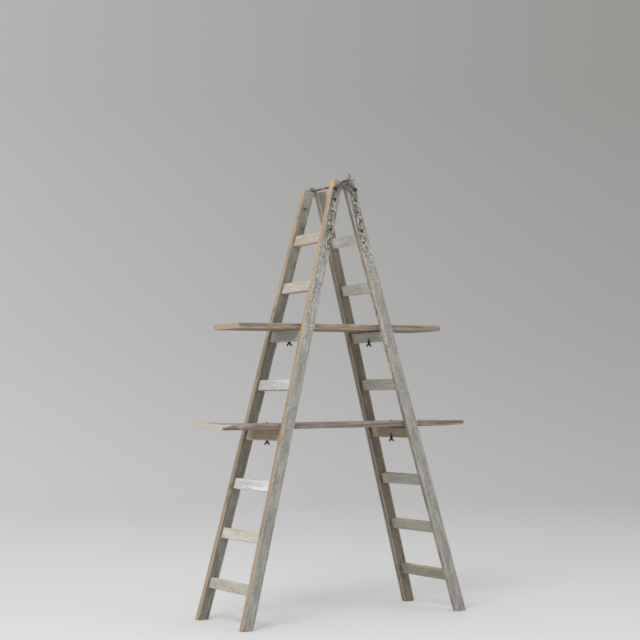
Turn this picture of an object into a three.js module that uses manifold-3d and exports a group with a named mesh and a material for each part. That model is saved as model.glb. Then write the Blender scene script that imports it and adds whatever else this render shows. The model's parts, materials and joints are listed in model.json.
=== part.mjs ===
// A double-sided wooden painter's ladder that folds on one iron rod, with two shelf boards laid through it.
// Millimetres, +Z up. The origin is on the floor under the middle of the ladder. +X is the way the legs
// spread and Y runs along the hinge rod. The left frame leans from -X and the right frame from +X. The near
// side is -Y, where the rod ends in its loop.

import * as THREE from "three";
import { mergeVertices } from "three/addons/utils/BufferGeometryUtils.js";
import Module from "manifold-3d";

const wasm = await Module();
wasm.setup();

// Clearance between pieces that touch on the real object.
const FIT_GAP = 0.3;
const MERGE_TOLERANCE = 1e-3;
const CURVE_STEPS = 5;
const ROUND_SIDES = 14;
const FINE_SIDES = 20;

// Ladder frames: each leans by HALF_ANGLE, and its stiles spread by TAPER for each millimetre down.
const HALF_ANGLE = THREE.MathUtils.degToRad(15.1);
const HINGE_HEIGHT = 2390;
const TOP_ABOVE_HINGE = { near: 9, far: -15 };
const INNER_FACE = 4;
const STILE_DEPTH = 65;
const STILE_THICKNESS = 36;
const TOP_HALF_WIDTH = 153;
const TAPER = 0.043;
const LEFT_CORNER_RADIUS = 8;
const RIGHT_CORNER_RADIUS = 24;
const OUTER_FACE = INNER_FACE + STILE_DEPTH;

// Rungs: flat bars set back from the stiles' outer edges, each with a through tenon at both ends.
const RUNG_COUNT = 8;
const FIRST_RUNG = 318;
const RUNG_PITCH = 280;
const RUNG_HEIGHT = 60;
const RUNG_THICKNESS = 26;
const RUNG_SETBACK = 15;
const TENON_HEIGHT = 42;
const TENON_THICKNESS = 14;
const RUNG_OUTER = OUTER_FACE - RUNG_SETBACK;
const RUNG_INNER = RUNG_OUTER - RUNG_THICKNESS;
const RUNG_MIDDLE = (RUNG_OUTER + RUNG_INNER) / 2;

// Hinge rod and its loop.
const ROD_RADIUS = 6;
const ROD_CLEARANCE = 0.4;
const ROD_FAR_END = 192;
const ROD_BEND = 184;
const LOOP_WIRE_RADIUS = 5.6;
const LOOP_STEPS = 48;
const LOOP_CURVE_STEPS = 6;

// The loop's middle line from the bend: along X, on past the bend, and up from the rod.
const LOOP_POINTS = [
  [0, -14, 0],
  [0, 0, 0],
  [2, 7, 4],
  [9, 9, 13],
  [19, 9.5, 25],
  [23.5, 10.5, 38],
  [19.5, 11.5, 49],
  [12, 12.5, 53.2],
  [4.5, 14, 49],
  [0.5, 16, 38],
  [3.5, 18.5, 27],
  [12, 21.5, 21],
  [24, 22.5, 18.5],
  [36, 22, 19],
  [48, 21, 25],
];

// Strap irons, in a frame's own plane: out from the hinge axis, and down from it.
const STRAP_THICKNESS = 5;
const STRAP_SEAT_GAP = 0.8;
const STRAP_LAYER_GAP = 1;
const STRAP_HALF_WIDTH = 19;
const STRAP_NECK_HALF_WIDTH = 17;
const STRAP_EYE_RADIUS = 22;
const STRAP_SHOULDER = new THREE.Vector2(46, -52);
const STRAP_FOOT = new THREE.Vector2(23.5, -369);

// Strap fixings: distances down the strap from the hinge axis, and the coach screw's place on the shoulder.
const STRAP_BOLTS = { near: { upper: 104, lower: 276 }, far: { upper: 119, lower: 228 } };
const COACH_SCREW = new THREE.Vector2(52, -46);
const COACH_SCREW_WIDTH = 19;
const COACH_SCREW_HEAD = 8;
const COACH_SCREW_RADIUS = 4.5;
const COACH_SCREW_DEPTH = 30;
const COACH_SCREW_SINK = 1;
const STRAP_BOLT_HEAD_RADIUS = 9;
const STRAP_BOLT_HEAD_HEIGHT = 4.5;
const SQUARE_NUT_WIDTH = 19;
const SQUARE_NUT_HEIGHT = 8;
const BOLT_RADIUS = 4;
const BOLT_END = 3;
const BOLT_CHAMFER = 1;
const DOME_STEPS = 3;
const HOLE_RADIUS = BOLT_RADIUS + FIT_GAP;

// Shelf boards. Each rests on one rung of both frames.
const UPPER_BOARD = { rung: 3, halfLength: 651, halfWidth: 150, thickness: 31 };
const LOWER_BOARD = { rung: 5, halfLength: 780.5, halfWidth: 187, thickness: 30 };
const LOWER_BOARD_WARP = 15;
const LOWER_BOARD_WARP_START = 430;
const LOWER_BOARD_WARP_POWER = 1.5;
const LOWER_BOARD_WORN_END = 640;
const LOWER_BOARD_WEAR = 7;
const BOARD_STEPS = 14;

// Shelf fixings: coach bolts down through board and rung, with a washer and a wing nut under each.
const SHELF_BOLT_ABOVE_EDGE = 14;
const SHELF_HEAD_RADIUS = 9;
const SHELF_HEAD_HEIGHT = 4.5;
const SHELF_BOLT_BELOW_SEAT = 26;
const SHELF_BOLT_PARTING = 1;
const SEAT_BELOW_EXIT = 5;
const SEAT_RADIUS = 12.5;
const SEAT_SIDES = 24;
const WASHER_RADIUS = 11;
const WASHER_THICKNESS = 2;
const NUT_HUB_RADIUS = 8.5;
const NUT_HUB_END_RADIUS = 6.5;
const NUT_HUB_HEIGHT = 13;
const NUT_CHAMFER = 1;
const WING_THICKNESS = 3.6;

// One wing's outline, out from the bolt and up from the nut's flat face: where it starts, then each curve's
// control point and end.
const WING_START = [3, -10.5];
const WING_CURVES = [
  [[11, -9.5], [16.5, -21]],
  [[17.5, -30], [11.5, -30]],
  [[9, -29], [8, -21]],
  [[7, -15], [3, -14]],
];

const FINISHES = {
  stile: { color: "#8f9086", roughness: 0.85, metalness: 0 },
  paleRung: { color: "#c2beb0", roughness: 0.85, metalness: 0 },
  greyRung: { color: "#8b8a7e", roughness: 0.85, metalness: 0 },
  board: { color: "#8c7a6c", roughness: 0.9, metalness: 0 },
  strap: { color: "#7f817a", roughness: 0.7, metalness: 0.5 },
  rustyIron: { color: "#5e4a3e", roughness: 0.75, metalness: 0.6 },
  blackSteel: { color: "#17171a", roughness: 0.45, metalness: 0.7 },
};

const ladder = new THREE.Group();

// A frame's group: its origin is on the hinge axis and its local Z runs up the stiles.
function frameGroup(side) {
  const group = new THREE.Group();
  group.position.set(0, 0, HINGE_HEIGHT);
  group.rotation.y = -side * HALF_ANGLE;
  group.updateMatrix();
  ladder.add(group);
  return group;
}

const frames = { left: frameGroup(-1), right: frameGroup(1) };
const SIDES = { left: -1, right: 1 };
const ENDS = { near: -1, far: 1 };

function solidOf(geometry) {
  const bare = geometry.clone();
  bare.deleteAttribute("normal");
  bare.deleteAttribute("uv");
  const merged = mergeVertices(bare, MERGE_TOLERANCE);
  const mesh = new wasm.Mesh({
    numProp: 3,
    vertProperties: merged.attributes.position.array,
    triVerts: new Uint32Array(merged.index.array),
  });
  return new wasm.Manifold(mesh);
}

function geometryOf(solid) {
  const mesh = solid.getMesh();
  const geometry = new THREE.BufferGeometry();
  geometry.setAttribute("position", new THREE.BufferAttribute(mesh.vertProperties, 3));
  geometry.setIndex(new THREE.BufferAttribute(mesh.triVerts, 1));
  geometry.computeVertexNormals();
  return geometry;
}

function joined(geometries) {
  return geometries.map(solidOf).reduce((whole, piece) => whole.add(piece));
}

function cutBy(solid, geometries) {
  return geometries.map(solidOf).reduce((rest, tool) => rest.subtract(tool), solid);
}

function addMesh(parent, name, solid, finish) {
  const mesh = new THREE.Mesh(geometryOf(solid), new THREE.MeshStandardMaterial(FINISHES[finish]));
  mesh.name = name;
  parent.add(mesh);
}

// An outline in X and Z, extruded along Y from yFrom.
function prismAlongY(shape, yFrom, depth) {
  const prism = new THREE.ExtrudeGeometry(shape, { depth, bevelEnabled: false, curveSegments: CURVE_STEPS });
  return prism.rotateX(Math.PI / 2).translate(0, yFrom + depth, 0);
}

// An outline in Y and Z, extruded along X from xFrom.
function prismAlongX(shape, xFrom, depth) {
  const prism = new THREE.ExtrudeGeometry(shape, { depth, bevelEnabled: false });
  const turn = new THREE.Matrix4().set(0, 0, 1, 0, 1, 0, 0, 0, 0, 1, 0, 0, 0, 0, 0, 1);
  return prism.applyMatrix4(turn).translate(xFrom, 0, 0);
}

function cylinderAlongY(radius, length, sides = ROUND_SIDES) {
  return new THREE.CylinderGeometry(radius, radius, length, sides);
}

function cylinderAlongZ(radius, length, sides = ROUND_SIDES) {
  return cylinderAlongY(radius, length, sides).rotateX(Math.PI / 2);
}

// A turned piece about Z. Each point is its radius and its height.
function turned(points, sides = ROUND_SIDES) {
  const profile = points.map(([radius, height]) => new THREE.Vector2(radius, height));
  return new THREE.LatheGeometry(profile, sides).rotateX(Math.PI / 2);
}

// The same piece turned about Y, with its heights running outwards at that end of the ladder.
function turnedAlongY(points, end, sides = ROUND_SIDES) {
  return turned(points, sides).rotateX((-end * Math.PI) / 2);
}

// Leans a piece made about Y = 0 on to a stile: the stile's middle plane is Y = 0 before this.
function ontoStile(geometry, end) {
  const lean = new THREE.Matrix4().set(
    1, 0, 0, 0,
    0, 1, -end * TAPER, end * TOP_HALF_WIDTH,
    0, 0, 1, 0,
    0, 0, 0, 1,
  );
  return geometry.applyMatrix4(lean);
}

// The height of the floor in a frame's own plane, at a distance out from the hinge.
function floorAt(out) {
  return -(HINGE_HEIGHT + out * Math.sin(HALF_ANGLE)) / Math.cos(HALF_ANGLE);
}

// The floor-frame X and Z of a point in the right frame's own plane. The left frame is its mirror image.
function worldPoint(out, up) {
  const x = out * Math.cos(HALF_ANGLE) - up * Math.sin(HALF_ANGLE);
  const z = HINGE_HEIGHT + out * Math.sin(HALF_ANGLE) + up * Math.cos(HALF_ANGLE);
  return new THREE.Vector2(x, z);
}

function rungUp(number) {
  return -(FIRST_RUNG + (number - 1) * RUNG_PITCH);
}

// Moves a geometry made in the floor frame into a frame group's own axes.
function intoFrame(geometry, frame) {
  return geometry.applyMatrix4(frames[frame].matrix.clone().invert());
}

// The point of a strap's middle line at a distance down from its shoulder end.
function strapPoint(drop) {
  const share = (-drop - STRAP_SHOULDER.y) / (STRAP_FOOT.y - STRAP_SHOULDER.y);
  return new THREE.Vector2().lerpVectors(STRAP_SHOULDER, STRAP_FOOT, share);
}

// Stiles: a side outline with a level foot and a square top, leaned outwards, then mortised, bored and
// grooved for the rod.
function stileOutline(side, top, cornerRadius) {
  const corners = [
    [INNER_FACE, floorAt(INNER_FACE)],
    [OUTER_FACE, floorAt(OUTER_FACE)],
    [OUTER_FACE, top - cornerRadius],
    [OUTER_FACE, top],
    [OUTER_FACE - cornerRadius, top],
    [INNER_FACE, top],
  ].map(([out, up]) => [side * out, up]);
  const [footIn, footOut, below, corner, beside, topIn] = corners;
  const outline = new THREE.Shape();
  outline.moveTo(...footIn);
  outline.lineTo(...footOut);
  outline.lineTo(...below);
  outline.quadraticCurveTo(...corner, ...beside);
  outline.lineTo(...topIn);
  return outline;
}

function mortise(side, end, number) {
  const slot = new THREE.BoxGeometry(
    TENON_THICKNESS + 2 * FIT_GAP,
    2 * STILE_THICKNESS,
    TENON_HEIGHT + 2 * FIT_GAP,
  );
  const middle = TOP_HALF_WIDTH - TAPER * rungUp(number);
  return slot.translate(side * RUNG_MIDDLE, end * middle, rungUp(number));
}

function strapHoles(side, endName, radius) {
  const end = ENDS[endName];
  return Object.values(STRAP_BOLTS[endName]).map((drop) => {
    const point = strapPoint(drop);
    const hole = cylinderAlongY(radius, 4 * STILE_THICKNESS).translate(side * point.x, 0, point.y);
    return ontoStile(hole, end);
  });
}

function coachScrewHole(side, end) {
  const reach = COACH_SCREW_DEPTH + FIT_GAP;
  const hole = cylinderAlongY(COACH_SCREW_RADIUS + FIT_GAP, 2 * reach);
  hole.translate(side * COACH_SCREW.x, (end * STILE_THICKNESS) / 2, COACH_SCREW.y);
  return ontoStile(hole, end);
}

function makeStile(frame, endName) {
  const side = SIDES[frame];
  const end = ENDS[endName];
  const radius = frame === "left" ? LEFT_CORNER_RADIUS : RIGHT_CORNER_RADIUS;
  const outline = stileOutline(side, TOP_ABOVE_HINGE[endName], radius);
  const blank = prismAlongY(outline, -STILE_THICKNESS / 2, STILE_THICKNESS);
  const cuts = [cylinderAlongY(ROD_RADIUS + ROD_CLEARANCE, 4 * TOP_HALF_WIDTH)];
  for (let number = 1; number <= RUNG_COUNT; number += 1) {
    cuts.push(mortise(side, end, number));
  }
  cuts.push(...strapHoles(side, endName, HOLE_RADIUS));
  if (endName === "near") {
    cuts.push(coachScrewHole(side, end));
  }
  const stile = cutBy(solidOf(ontoStile(blank, end)), cuts);
  addMesh(frames[frame], `${frame}_${endName}_stile`, stile, "stile");
}

// Rungs: a bar between the stiles' inner sides, and a tenon that ends flush with their outer sides.
function trapezoid(up, height, inset) {
  const halfAt = (level) => TOP_HALF_WIDTH - TAPER * level + inset;
  const top = up + height / 2;
  const bottom = up - height / 2;
  const outline = new THREE.Shape();
  outline.moveTo(-halfAt(bottom), bottom);
  outline.lineTo(halfAt(bottom), bottom);
  outline.lineTo(halfAt(top), top);
  outline.lineTo(-halfAt(top), top);
  return outline;
}

function bar(side, up, height, thickness, inset) {
  const outline = trapezoid(up, height, inset);
  return prismAlongX(outline, side * RUNG_MIDDLE - thickness / 2, thickness);
}

function boardOn(number) {
  return [UPPER_BOARD, LOWER_BOARD].find((board) => board.rung === number);
}

// The shelf bolt's X, and the height where it leaves the rung's inner face.
function shelfBoltExit(number) {
  return worldPoint(RUNG_INNER, rungUp(number) - RUNG_HEIGHT / 2 + SHELF_BOLT_ABOVE_EDGE);
}

function seatHeight(number) {
  return shelfBoltExit(number).y - SEAT_BELOW_EXIT;
}

function makeRung(frame, number) {
  const side = SIDES[frame];
  const up = rungUp(number);
  const body = bar(side, up, RUNG_HEIGHT, RUNG_THICKNESS, -STILE_THICKNESS / 2 - FIT_GAP);
  const tenon = bar(side, up, TENON_HEIGHT, TENON_THICKNESS, STILE_THICKNESS / 2);
  let rung = joined([body, tenon]);
  if (boardOn(number)) {
    const x = side * shelfBoltExit(number).x;
    const seat = seatHeight(number);
    const hole = cylinderAlongZ(HOLE_RADIUS, 4 * RUNG_HEIGHT).translate(x, 0, seat);
    const spotFace = cylinderAlongZ(SEAT_RADIUS, RUNG_HEIGHT, SEAT_SIDES);
    spotFace.translate(x, 0, seat - RUNG_HEIGHT / 2);
    rung = cutBy(rung, [intoFrame(hole, frame), intoFrame(spotFace, frame)]);
  }
  const finish = frame === "left" ? "paleRung" : "greyRung";
  addMesh(frames[frame], `${frame}_rung_${number}`, rung, finish);
}

// Strap irons: a straight leg down the stile, a shoulder, and a neck back to an eye on the rod.
function capsule(side, from, to, radius) {
  const start = new THREE.Vector2(side * from.x, from.y);
  const finish = new THREE.Vector2(side * to.x, to.y);
  const angle = finish.clone().sub(start).angle();
  const quarter = Math.PI / 2;
  const outline = new THREE.Shape();
  outline.absarc(finish.x, finish.y, radius, angle - quarter, angle + quarter, false);
  outline.absarc(start.x, start.y, radius, angle + quarter, angle + 3 * quarter, false);
  return outline;
}

function disc(centre, radius) {
  return new THREE.Shape().absarc(centre.x, centre.y, radius, 0, 2 * Math.PI, false);
}

function ribbon(side, from, to, halfWidth) {
  const start = new THREE.Vector2(side * from.x, from.y);
  const finish = new THREE.Vector2(side * to.x, to.y);
  const across = finish.clone().sub(start).setLength(halfWidth);
  across.rotateAround(new THREE.Vector2(), Math.PI / 2);
  const corners = [start.clone().sub(across), finish.clone().sub(across), finish.clone().add(across)];
  return new THREE.Shape([...corners, start.clone().add(across)]);
}

// A plate on a stile's outer side, between two depths out from that side.
function plate(outline, end, from, thickness) {
  const start = STILE_THICKNESS / 2 + STRAP_SEAT_GAP + from;
  const yFrom = end > 0 ? start : -start - thickness;
  return ontoStile(prismAlongY(outline, yFrom, thickness), end);
}

function makeStrap(frame, endName) {
  const side = SIDES[frame];
  const end = ENDS[endName];
  const axis = new THREE.Vector2(0, 0);
  const cranked = frame === "right";
  const layer = STRAP_THICKNESS + STRAP_LAYER_GAP;
  const headDepth = cranked ? layer : 0;
  const joggle = headDepth + STRAP_THICKNESS;
  const shoulder = new THREE.Vector2(side * STRAP_SHOULDER.x, STRAP_SHOULDER.y);
  const pieces = [
    plate(capsule(side, STRAP_FOOT, STRAP_SHOULDER, STRAP_HALF_WIDTH), end, 0, STRAP_THICKNESS),
    plate(disc(shoulder, STRAP_NECK_HALF_WIDTH), end, 0, joggle),
    plate(ribbon(side, STRAP_SHOULDER, axis, STRAP_NECK_HALF_WIDTH), end, headDepth, STRAP_THICKNESS),
    plate(disc(axis, STRAP_EYE_RADIUS), end, headDepth, STRAP_THICKNESS),
  ];
  const cuts = [cylinderAlongY(ROD_RADIUS + ROD_CLEARANCE, 4 * TOP_HALF_WIDTH)];
  cuts.push(...strapHoles(side, endName, HOLE_RADIUS));
  if (endName === "near") {
    cuts.push(coachScrewHole(side, end));
  }
  addMesh(frames[frame], `${frame}_${endName}_strap`, cutBy(joined(pieces), cuts), "strap");
}

// A round-headed bolt's profile about its own axis, from the middle of its dome to the end of its shank.
function boltProfile(headRadius, headHeight, shankRadius, length) {
  const dome = Array.from({ length: DOME_STEPS + 1 }, (_, step) => {
    const angle = (step / DOME_STEPS) * (Math.PI / 2);
    return [headRadius * Math.sin(angle), headHeight * Math.cos(angle)];
  });
  const shank = [
    [shankRadius, 0],
    [shankRadius, BOLT_CHAMFER - length],
    [shankRadius - BOLT_CHAMFER, -length],
    [0, -length],
  ];
  return [...dome, ...shank].reverse();
}

function makeStrapBolt(frame, endName, place) {
  const side = SIDES[frame];
  const end = ENDS[endName];
  const point = strapPoint(STRAP_BOLTS[endName][place]);
  const headSeat = STILE_THICKNESS / 2 + STRAP_SEAT_GAP + STRAP_THICKNESS + FIT_GAP;
  const nutSeat = STILE_THICKNESS / 2 + FIT_GAP;
  const length = headSeat + nutSeat + SQUARE_NUT_HEIGHT + BOLT_END;
  const profile = boltProfile(STRAP_BOLT_HEAD_RADIUS, STRAP_BOLT_HEAD_HEIGHT, BOLT_RADIUS, length);
  const bolt = turnedAlongY(profile, end).translate(side * point.x, end * headSeat, point.y);
  const name = `${frame}_${endName}_strap_bolt_${place}`;
  addMesh(frames[frame], name, solidOf(ontoStile(bolt, end)), "rustyIron");
  makeSquareNut(frame, endName, place, point, nutSeat);
}

function makeSquareNut(frame, endName, place, point, nutSeat) {
  const side = SIDES[frame];
  const end = ENDS[endName];
  const y = -end * (nutSeat + SQUARE_NUT_HEIGHT / 2);
  const block = new THREE.BoxGeometry(SQUARE_NUT_WIDTH, SQUARE_NUT_HEIGHT, SQUARE_NUT_WIDTH);
  const hole = cylinderAlongY(HOLE_RADIUS, 4 * SQUARE_NUT_HEIGHT);
  const centre = [side * point.x, y, point.y];
  block.translate(...centre);
  hole.translate(...centre);
  const nut = cutBy(solidOf(ontoStile(block, end)), [ontoStile(hole, end)]);
  addMesh(frames[frame], `${frame}_${endName}_strap_nut_${place}`, nut, "rustyIron");
}

function makeCoachScrew(frame) {
  const side = SIDES[frame];
  const end = ENDS.near;
  const layers = frame === "right" ? 2 * STRAP_THICKNESS + STRAP_LAYER_GAP : STRAP_THICKNESS;
  const headSeat = STILE_THICKNESS / 2 + STRAP_SEAT_GAP + layers + FIT_GAP;
  const tip = STILE_THICKNESS / 2 - COACH_SCREW_DEPTH;
  const head = new THREE.BoxGeometry(COACH_SCREW_WIDTH, COACH_SCREW_HEAD, COACH_SCREW_WIDTH);
  head.translate(side * COACH_SCREW.x, end * (headSeat + COACH_SCREW_HEAD / 2), COACH_SCREW.y);
  const length = headSeat - tip + COACH_SCREW_SINK;
  const shank = cylinderAlongY(COACH_SCREW_RADIUS, length);
  shank.translate(side * COACH_SCREW.x, end * (tip + length / 2), COACH_SCREW.y);
  const screw = joined([ontoStile(head, end), ontoStile(shank, end)]);
  addMesh(frames[frame], `${frame}_near_coach_screw`, screw, "rustyIron");
}

// The hinge rod: straight through all four eyes, then bent up into a closed loop with its tail turned out.
function loopPath() {
  const points = LOOP_POINTS.map(([x, past, up]) => new THREE.Vector3(x, -ROD_BEND - past, up));
  return new THREE.CatmullRomCurve3(points);
}

function makeHingeRod() {
  const section = disc(new THREE.Vector2(0, 0), LOOP_WIRE_RADIUS);
  const options = { steps: LOOP_STEPS, extrudePath: loopPath(), curveSegments: LOOP_CURVE_STEPS };
  const loop = new THREE.ExtrudeGeometry(section, options);
  const straight = cylinderAlongY(ROD_RADIUS, ROD_FAR_END + ROD_BEND, FINE_SIDES);
  straight.translate(0, (ROD_FAR_END - ROD_BEND) / 2, 0);
  const rod = joined([straight, loop]).translate([0, 0, HINGE_HEIGHT]);
  addMesh(ladder, "hinge_rod", rod, "rustyIron");
}

// Boards. Each underside lies just above the rungs' highest corners.
function boardUnderside(number) {
  return worldPoint(RUNG_OUTER, rungUp(number) + RUNG_HEIGHT / 2).y + FIT_GAP;
}

function boardBlank(board) {
  const { halfLength, halfWidth, thickness } = board;
  const blank = new THREE.BoxGeometry(2 * halfLength, 2 * halfWidth, thickness, BOARD_STEPS, 1, 1);
  return blank.translate(0, 0, boardUnderside(board.rung) + thickness / 2);
}

function shareBeyond(place, start, finish) {
  return Math.max(0, place - start) / (finish - start);
}

// The long board has twisted up at its far left corner and has worn thinner at its near right one.
function warpLowerBoard(geometry) {
  const point = geometry.attributes.position;
  const { halfLength, halfWidth, thickness } = LOWER_BOARD;
  const middle = boardUnderside(LOWER_BOARD.rung) + thickness / 2;
  for (let index = 0; index < point.count; index += 1) {
    const across = (point.getY(index) + halfWidth) / (2 * halfWidth);
    const left = shareBeyond(-point.getX(index), LOWER_BOARD_WARP_START, halfLength);
    const right = shareBeyond(point.getX(index), LOWER_BOARD_WORN_END, halfLength);
    const under = point.getZ(index) < middle ? 1 : 0;
    const twist = LOWER_BOARD_WARP * left ** LOWER_BOARD_WARP_POWER * across;
    const wear = LOWER_BOARD_WEAR * right * under * (1 - across);
    point.setZ(index, point.getZ(index) + twist + wear);
  }
  return geometry;
}

function makeBoard(name, board, shape = (geometry) => geometry) {
  const x = shelfBoltExit(board.rung).x;
  const z = boardUnderside(board.rung);
  const depth = 4 * board.thickness;
  const holes = [-x, x].map((place) => cylinderAlongZ(HOLE_RADIUS, depth).translate(place, 0, z));
  addMesh(ladder, name, cutBy(solidOf(shape(boardBlank(board))), holes), "board");
}

function shelfBolt(board, side, headHeight, length) {
  const profile = boltProfile(SHELF_HEAD_RADIUS, SHELF_HEAD_HEIGHT, BOLT_RADIUS, length);
  return turned(profile).translate(side * shelfBoltExit(board.rung).x, 0, headHeight);
}

// Left bolts run whole from head to nut. Right ones are parted where the board meets the rung, so that the
// right frame can fold: the head and upper shank stay in the board, the lower shank in the rung.
function makeShelfBolts(place, board) {
  const headSeat = boardUnderside(board.rung) + board.thickness + FIT_GAP;
  const end = seatHeight(board.rung) - SHELF_BOLT_BELOW_SEAT;
  const parting = boardUnderside(board.rung) - FIT_GAP;
  const whole = shelfBolt(board, -1, headSeat, headSeat - end);
  addMesh(ladder, `${place}_left_shelf_bolt`, solidOf(whole), "blackSteel");
  const head = shelfBolt(board, 1, headSeat, headSeat - parting - FIT_GAP);
  addMesh(ladder, `${place}_right_shelf_bolt_head`, solidOf(head), "blackSteel");
  const length = parting - SHELF_BOLT_PARTING - end;
  const shank = cylinderAlongZ(BOLT_RADIUS, length);
  shank.translate(shelfBoltExit(board.rung).x, 0, end + length / 2);
  addMesh(ladder, `${place}_right_shelf_bolt_shank`, solidOf(shank), "blackSteel");
}

function makeWasher(place, frame, board) {
  const top = seatHeight(board.rung) - FIT_GAP;
  const ring = turned(
    [
      [HOLE_RADIUS, 0],
      [WASHER_RADIUS, 0],
      [WASHER_RADIUS, WASHER_THICKNESS],
      [HOLE_RADIUS, WASHER_THICKNESS],
      [HOLE_RADIUS, 0],
    ],
    FINE_SIDES,
  );
  ring.translate(SIDES[frame] * shelfBoltExit(board.rung).x, 0, top - WASHER_THICKNESS);
  addMesh(ladder, `${place}_${frame}_washer`, solidOf(ring), "blackSteel");
}

function wingOutline(side) {
  const outline = new THREE.Shape();
  outline.moveTo(side * WING_START[0], WING_START[1]);
  for (const [control, finish] of WING_CURVES) {
    outline.quadraticCurveTo(side * control[0], control[1], side * finish[0], finish[1]);
  }
  return outline;
}

function makeWingNut(place, frame, board) {
  const hub = turned([
    [0, -NUT_HUB_HEIGHT],
    [NUT_HUB_END_RADIUS, -NUT_HUB_HEIGHT],
    [NUT_HUB_RADIUS, -NUT_CHAMFER],
    [NUT_HUB_RADIUS, 0],
    [0, 0],
  ]);
  const wings = [-1, 1].map((side) => prismAlongY(wingOutline(side), -WING_THICKNESS / 2, WING_THICKNESS));
  const bore = cylinderAlongZ(HOLE_RADIUS, 4 * NUT_HUB_HEIGHT);
  const nut = cutBy(joined([hub, ...wings]), [bore]);
  const top = seatHeight(board.rung) - 2 * FIT_GAP - WASHER_THICKNESS;
  const placed = nut.translate([SIDES[frame] * shelfBoltExit(board.rung).x, 0, top]);
  addMesh(ladder, `${place}_${frame}_wing_nut`, placed, "blackSteel");
}

for (const frame of Object.keys(SIDES)) {
  for (const endName of Object.keys(ENDS)) {
    makeStile(frame, endName);
    makeStrap(frame, endName);
    makeStrapBolt(frame, endName, "upper");
    makeStrapBolt(frame, endName, "lower");
  }
  makeCoachScrew(frame);
  for (let number = 1; number <= RUNG_COUNT; number += 1) {
    makeRung(frame, number);
  }
}

makeHingeRod();
makeBoard("upper_shelf_board", UPPER_BOARD);
makeBoard("lower_shelf_board", LOWER_BOARD, warpLowerBoard);

for (const [place, board] of Object.entries({ upper: UPPER_BOARD, lower: LOWER_BOARD })) {
  makeShelfBolts(place, board);
  for (const frame of Object.keys(SIDES)) {
    makeWasher(place, frame, board);
    makeWingNut(place, frame, board);
  }
}

export default ladder;
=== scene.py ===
"""Looks of a folding double ladder with two shelf boards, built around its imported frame.

Everything is in metres in the frame's own axes: +X is the way the legs spread, +Y runs along the
hinge rod away from its loop, and +Z is up. The near side is -Y and the left frame is at -X.
"""

import json
import logging
import math
from dataclasses import dataclass
from enum import Enum
from typing import Callable

import bpy
import numpy as np
from mathutils import Matrix, Vector, noise

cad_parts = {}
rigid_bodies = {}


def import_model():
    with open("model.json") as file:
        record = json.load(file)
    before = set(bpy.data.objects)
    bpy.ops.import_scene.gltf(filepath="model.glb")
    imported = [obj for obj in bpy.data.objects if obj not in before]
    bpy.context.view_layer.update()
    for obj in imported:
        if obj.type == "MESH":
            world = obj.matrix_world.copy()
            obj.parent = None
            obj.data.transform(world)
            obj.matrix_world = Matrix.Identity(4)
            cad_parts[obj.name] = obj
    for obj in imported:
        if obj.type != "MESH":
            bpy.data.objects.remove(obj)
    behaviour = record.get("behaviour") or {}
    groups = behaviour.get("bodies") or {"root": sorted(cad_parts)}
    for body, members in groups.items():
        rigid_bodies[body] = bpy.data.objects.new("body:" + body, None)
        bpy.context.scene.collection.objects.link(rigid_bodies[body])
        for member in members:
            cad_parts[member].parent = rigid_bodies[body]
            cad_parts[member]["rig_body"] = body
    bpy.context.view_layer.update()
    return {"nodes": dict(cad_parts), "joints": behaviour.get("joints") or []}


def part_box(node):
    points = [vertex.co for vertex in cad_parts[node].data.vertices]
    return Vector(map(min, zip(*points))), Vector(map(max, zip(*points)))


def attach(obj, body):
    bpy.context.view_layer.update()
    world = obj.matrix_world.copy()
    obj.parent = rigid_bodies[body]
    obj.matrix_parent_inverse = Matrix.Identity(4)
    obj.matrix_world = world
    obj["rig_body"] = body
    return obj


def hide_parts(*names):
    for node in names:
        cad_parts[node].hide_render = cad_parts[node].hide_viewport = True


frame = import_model()

log = logging.getLogger("ladder")

Tree, Socket = bpy.types.NodeTree, bpy.types.NodeSocket
Piece, Material = bpy.types.Object, bpy.types.Material

MM = 0.001

# The ladder's own sizes: each frame leans by HALF_ANGLE, and its stiles spread by TAPER per metre down.
HALF_ANGLE = math.radians(15.1)
HINGE_HEIGHT = next(joint for joint in frame["joints"] if joint["name"] == "fold")["pos_m"][2]
INNER_FACE = 4 * MM
STILE_DEPTH = 65 * MM
STILE_THICKNESS = 36 * MM
TOP_HALF_WIDTH = 153 * MM
TAPER = 0.043
RUNG_COUNT = 8
FIRST_RUNG = 318 * MM
RUNG_PITCH = 280 * MM
RUNG_HEIGHT = 60 * MM
RUNG_THICKNESS = 26 * MM
RUNG_INSET = 15 * MM
RUNG_MIDDLE = INNER_FACE + STILE_DEPTH - RUNG_INSET - RUNG_THICKNESS / 2

# Tidying of a copied solid: points nearer than WELD become one, and so do faces that turn less than FLAT.
WELD = 0.02 * MM
FLAT = math.radians(0.4)

# Worn arrises: lumps of wear to the metre, and chips, which are smaller, rarer and deeper. Wear reaches
# ARRIS_REACH in from an arris, and ARRIS_STEP sets the four arrises' patterns apart.
WEAR_PER_METRE = 14
CHIPS_PER_WEAR = 1.9
CHIP_RARITY = 0.33
CHIP_DEPTH = 7
ARRIS_REACH = 6 * MM
ARRIS_STEP = 3.0

# Edges that are rounded: the long ones, and those at a timber's ends that are off its low face.
LONG_EDGE = 90 * MM
END_REACH = 1.5 * MM
LOW_STRIP = 12 * MM

# Knots: at most one in each of these cells, drawn out along the grain, and the share of cells with one.
KNOT_CELL = (260 * MM, 100 * MM, 100 * MM)
KNOT_SHARE = 0.6

# Screws down a near strap: where their line starts, how it leans in, and where the strap's face is.
SCREW_LINE_DROP = 52 * MM
SCREW_LINE_OUT = 46 * MM
SCREW_LINE_SLOPE = 0.071
STRAP_FACE = 5.8 * MM

# The attribute that holds each timber's own axes: along the grain, up its depth, through its thickness.
GRAIN = "grain"

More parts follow.
